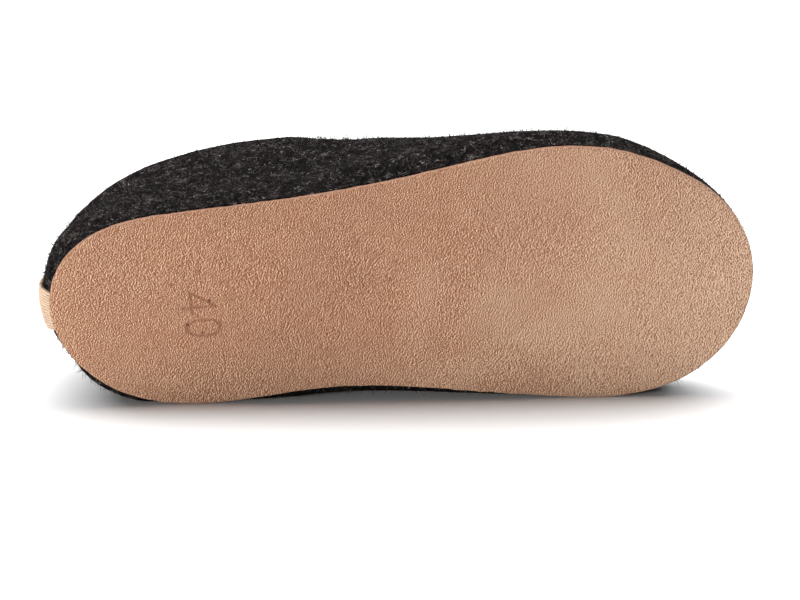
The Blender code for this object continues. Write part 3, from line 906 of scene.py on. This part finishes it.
# Single wool hairs, from near black to pale grey: dull.
hair_wool, tree, shader = new_finish("loose_wool_hair", Roughness=1.0, Specular_IOR_Level=0.02)
shades = colour_ramp(tree, read_mark(tree, "tone"), "dark to undyed",
                     [(0.0, "#050404"), (0.6, "#0d0b0b"), (0.86, "#242121"), (1.0, "#65605d")])
paint(tree, shader, shades)
floor_turn = np.array(lying)
above_floor = points @ floor_turn[2, :3] + floor_turn[2, 3]
hairy = [face for face in faces if len(set(face.tolist())) > 2]


def felt_above(height):
    """The felt's outer faces that lie more than a height above the floor."""
    return [face.tolist() for face in hairy if above_floor[face].min() > height]


fuzz = grow_fuzz("felt_fuzz", points, felt_above(0.0016), density=230000.0, length=0.0021,
                 radius=0.00009, lean=(20, 86), seed=4, wool=hair_wool)
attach(fuzz, "root")


# A few longer hairs, half torn out by wear, stand further off and fray the felt's outline. They
# are the felt's own wool too, and start a little higher above the floor.
stray = grow_fuzz("stray_felt_hairs", points, felt_above(0.0045), density=72000.0, length=0.0030,
                  radius=0.000115, lean=(12, 70), seed=17, wool=hair_wool)
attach(stray, "root")


# Pale hairs along the floor, where the felt's inner side lies on it: a narrow band of short hairs,
# lying almost flat, along the front of the ground contact. Their pale colour is a painted
# highlight, the light that the felt's fuzz catches at the floor line.
fringe_highlight_wool, tree, shader = new_finish("fuzz_painted_highlight", Roughness=1.0, Specular_IOR_Level=0.02)
fringe_highlight_colour = blend_colours(tree, read_mark(tree, "tone"), colour("#5c554f"), colour("#b5a899"))
paint(tree, shader, fringe_highlight_colour)
band_low, band_high, band_front = 0.0004, 0.0022, -0.029
front_low = points @ floor_turn[1, :3] + floor_turn[1, 3]
low_faces = [face for face in felt_above(band_low)
             if above_floor[face].min() < band_high and front_low[face].min() < band_front]
lit_fringe_hairs = grow_fuzz("felt_fringe_painted_highlight", points, low_faces, density=2600000.0, length=0.0013,
                   radius=0.00006, lean=(50, 88), seed=23, wool=fringe_highlight_wool)
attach(lit_fringe_hairs, "root")


# The suede's own fibres, frayed by the knife along the outsole's cut edge: short tan and darker
# ends of the leather itself.
edge_wool, tree, shader = new_finish("frayed_suede_fibre", Roughness=1.0, Specular_IOR_Level=0.02)
fibre_tan = blend_colours(tree, read_mark(tree, "tone"), colour("#84583f"), colour("#bd9276"))
paint(tree, shader, fibre_tan)
least_cut = 0.15
edge_faces = [face for face in sole_faces if cut_edge[face].mean() > least_cut]
frayed = grow_fuzz("suede_edge_fibres", sole_points, edge_faces, density=400000.0, length=0.0006,
                   radius=0.00006, lean=(25, 85), seed=9, wool=edge_wool)
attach(frayed, "root")


# The insole: a loose sheet of grey felt 4.5 mm thick, cut to the inside of the upper and laid on
# the sole. It shows through the collar.
insole_thickness = 0.0045
FOOTBED_PROFILE = [(0.0, 0.0), (0.0, 0.35), (0.0, 0.7), (0.0003, 0.88), (0.0009, 0.98),
                   (0.0018, 1.0)]


def inside_felt(side, along):
    """The clearance round the insole."""
    return wall_offset(side, along, np.zeros(len(along))) - felt_wall - seam_gap


bed_alongs = np.concatenate([heel_ease, spaced([(0.18, 0), (0.76, 90)])[1:], toe_ease[1:]])
bed_points, bed_faces = sheet_solid(bed_alongs, np.linspace(0, 1, 9), inside_felt, above_sole,
                                    insole_thickness, FOOTBED_PROFILE, np.linspace(0, 1, 61))
bed_up = bed_points[:, 2] - above_sole(bed_points[:, 0], bed_points[:, 1])
bed_up = share(bed_up, 0.003, 0.0044)
bed_points[:, 2] += bed_up * (0.00018 * noise_at(bed_points, 0.02, 21) - 0.0002)
insole = lay_down("felt_insole", bed_points, bed_faces)
grey_felt = felt.copy()
grey_felt.name = "grey_wool_felt"
insole.data.materials.append(grey_felt)
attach(insole, "root")
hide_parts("insole")


# The heel tape: a woven cotton tape 15 mm wide with lengthwise ribs, sewn up the back of the heel
# and a little to its inner side. It starts between sole and felt, runs up the felt and folds over
# the collar to the inside.
tape_width = 0.0152
tape_shift = 0.0022
tape_thickness = 0.0014
tape_turn_in = 0.012
rib_count = 15
rib_height = 0.00024


def heel_point(arc, t):
    """Points on the felt's back, by distance round from its middle and share of its height."""
    side = outer_side if arc < 0 else inner_side
    data = sides[side]
    x = np.interp(abs(arc), data[:, 4], data[:, 0])
    along = (x - data[0, 0]) / (data[-1, 0] - data[0, 0])
    top_angle = angle_at_height(side, along, collar_height(along))
    return felt_point(side, along, top_angle * np.asarray(t, float))


def tape_line(arc, up_rows=70, over_rows=14, in_rows=14, reach=0.0004):
    """One line of the tape's inner face and its outward directions."""
    def frame_at(t):
        here = heel_point(arc, t)
        across = heel_point(arc + reach, t) - heel_point(arc - reach, t)
        up = unit(heel_point(arc, t + 0.01) - heel_point(arc, t - 0.01))
        return here, unit(np.cross(up, across)), up

    here, out, _ = frame_at(0.01 + 0.99 * np.linspace(0, 1, up_rows))
    line = [here + out * seam_gap]
    ways = [out]
    top, out, up = (values[0] for values in frame_at(np.array([1.0])))
    turn = np.linspace(0, math.pi, over_rows + 1)[1:-1]
    around = np.copysign(np.abs(np.cos(turn)) ** 0.6, np.cos(turn))[:, None]
    line.append(top - out * 0.5 * felt_wall + out * (0.5 * felt_wall + seam_gap) * around
                + up * 2.0 * seam_gap * (np.sin(turn) ** 0.6)[:, None])
    ways.append(unit(out * np.cos(turn)[:, None] + up * np.sin(turn)[:, None]))
    height = np.linalg.norm(top - heel_point(arc, np.array([0.0]))[0])
    here, out, _ = frame_at(1.0 - np.linspace(0, 1, in_rows) * tape_turn_in / height)
    line.append(here - out * (felt_wall + seam_gap))
    ways.append(-out)
    return np.concatenate(line), np.concatenate(ways)


across_steps = rib_count * 8
arcs = tape_shift + tape_width * (np.arange(across_steps + 1) / across_steps - 0.5)
inner_face, ways = (np.array(part) for part in zip(*map(tape_line, arcs)))
rib = np.abs(np.sin(math.pi * rib_count * np.arange(across_steps + 1) / across_steps)) ** 0.8
step = np.arange(across_steps + 1)
edge_thin = np.minimum(1, np.minimum(step, across_steps - step) / 3)
length_steps = inner_face.shape[1]
rise = (tape_thickness - rib_height) * (0.62 + 0.38 * edge_thin) + rib_height * rib
outer_face = inner_face + ways * rise[:, None, None]
size = inner_face.shape[:2]
under_numbers = np.arange(size[0] * size[1]).reshape(size)
over_numbers = under_numbers + under_numbers.size
tape_faces = [grid_faces(under_numbers, True), grid_faces(over_numbers)]
border = np.concatenate([under_numbers[0, :], under_numbers[1:, -1],
                         under_numbers[-1, -2::-1], under_numbers[-2::-1, 0]])
tape_faces.append(grid_faces(np.array([border, border + under_numbers.size])))
if not faces_agree(tape_faces[0], tape_faces[2]):
    tape_faces[2] = tape_faces[2][:, ::-1]
tape_points = np.concatenate([inner_face.reshape(-1, 3), outer_face.reshape(-1, 3)])
rib_tone = np.concatenate([np.zeros(under_numbers.size), np.repeat(rib, length_steps)])
path = arc_length(inner_face[across_steps // 2])
heel_tape = lay_down("woven_heel_tape", tape_points, np.concatenate(tape_faces).tolist(),
                     {"rib": rib_tone, "path": np.tile(path, 2 * size[0])})

# Undyed cotton, woven: matt cream, each rib a row of weft picks. It is painted browner in the
# grooves between ribs and between picks: painted shade.
pick_length = 0.00045
cotton, tree, shader = new_finish("undyed_woven_cotton", Roughness=0.88, Sheen_Weight=0.2,
                                  Sheen_Roughness=0.5, Specular_IOR_Level=0.25)
place = add_node(tree, "ShaderNodeTexCoord").outputs["Object"]
run = times(tree, read_mark(tree, "path"), 2 * math.pi / pick_length)
picks = ramp(tree, calculate(tree, "SINE", run), -1.0, 1.0)
soil = soft_noise(tree, place, 700.0, 4.0, 0.65)
rib_groove_shade = ramp(tree, read_mark(tree, "rib"), 0.15, 0.75)
yarn = blend_colours(tree, rib_groove_shade, colour("#7d624c"), colour("#bb9e85"))
yarn = stain(tree, yarn, (ramp(tree, picks, 0.5, 0.0), 0.3, "#947659"),
             (ramp(tree, soil, 0.4, 0.65), 0.35, "#dcc5ab"))
thread = calculate(tree, "ADD", picks, times(tree, soil, 0.7))
paint(tree, shader, yarn, thread, strength=0.6, distance=0.0002)
heel_tape.data.materials.append(cotton)
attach(heel_tape, "root")
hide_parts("heel_tape")


# The studio: a plain white table under a large soft light above and behind the shoe, a small low
# light from the front left, and a long lens that looks a little down on the sole.
floor_mesh = bpy.data.meshes.new("floor")
reach = 9.0
corners = [(-reach, -reach, 0), (reach, -reach, 0), (reach, reach, 0), (-reach, reach, 0)]
floor_mesh.from_pydata(corners, [], [(0, 1, 2, 3)])
floor = show("floor", floor_mesh)
white, tree, shader = new_finish("matt_white_table", Roughness=0.9, Specular_IOR_Level=0.0)
shader.inputs["Base Color"].default_value = (0.8, 0.8, 0.8, 1.0)
floor_mesh.materials.append(white)


def add_light(name, place, aim, width, height, power):
    """A soft rectangular light turned to a point."""
    lamp = bpy.data.lights.new(name, "AREA")
    lamp.shape = "RECTANGLE"
    lamp.size = width
    lamp.size_y = height
    lamp.energy = power
    holder = show(name, lamp)
    holder.location = place
    holder.rotation_euler = (Vector(aim) - Vector(place)).to_track_quat("-Z", "Y").to_euler()


add_light("overhead_softbox", (0.0, 1.12, 2.0), (0.0, 1.12, 0.0), 6.4, 2.2, 300.0)
add_light("front_softbox", (-3.0, -1.6, 0.3), (0.0, 0.0, 0.04), 0.6, 0.35, 100.0)
bpy.context.scene.view_settings.view_transform = "Standard"
world = bpy.data.worlds.new("studio")
bpy.context.scene.world = world
world.use_nodes = True
sky = world.node_tree.nodes["Background"]
sky.inputs["Color"].default_value = (0.86, 0.93, 1.0, 1.0)
sky.inputs["Strength"].default_value = 0.1

camera_far = 1.6
camera_up = math.radians(18.5)
camera_round = math.radians(-3.4)
camera_roll = math.radians(0.15)
view_width = 0.3036
aim = lying @ Vector((0.1323, 0.00417, 0.0))
back = Vector((math.sin(camera_round) * math.cos(camera_up),
               -math.cos(camera_round) * math.cos(camera_up), math.sin(camera_up)))
lens = bpy.data.cameras.new("camera")
lens.sensor_width = 36.0
lens.lens = lens.sensor_width * camera_far / view_width
lens.clip_start = 0.1
lens.clip_end = 60.0
camera = show("camera", lens)
turned = (-back).to_track_quat("-Z", "Y").to_matrix().to_4x4()
camera.matrix_world = (Matrix.Translation(aim + back * camera_far) @ turned
                       @ Matrix.Rotation(camera_roll, 4, "Z"))
bpy.context.scene.camera = camera
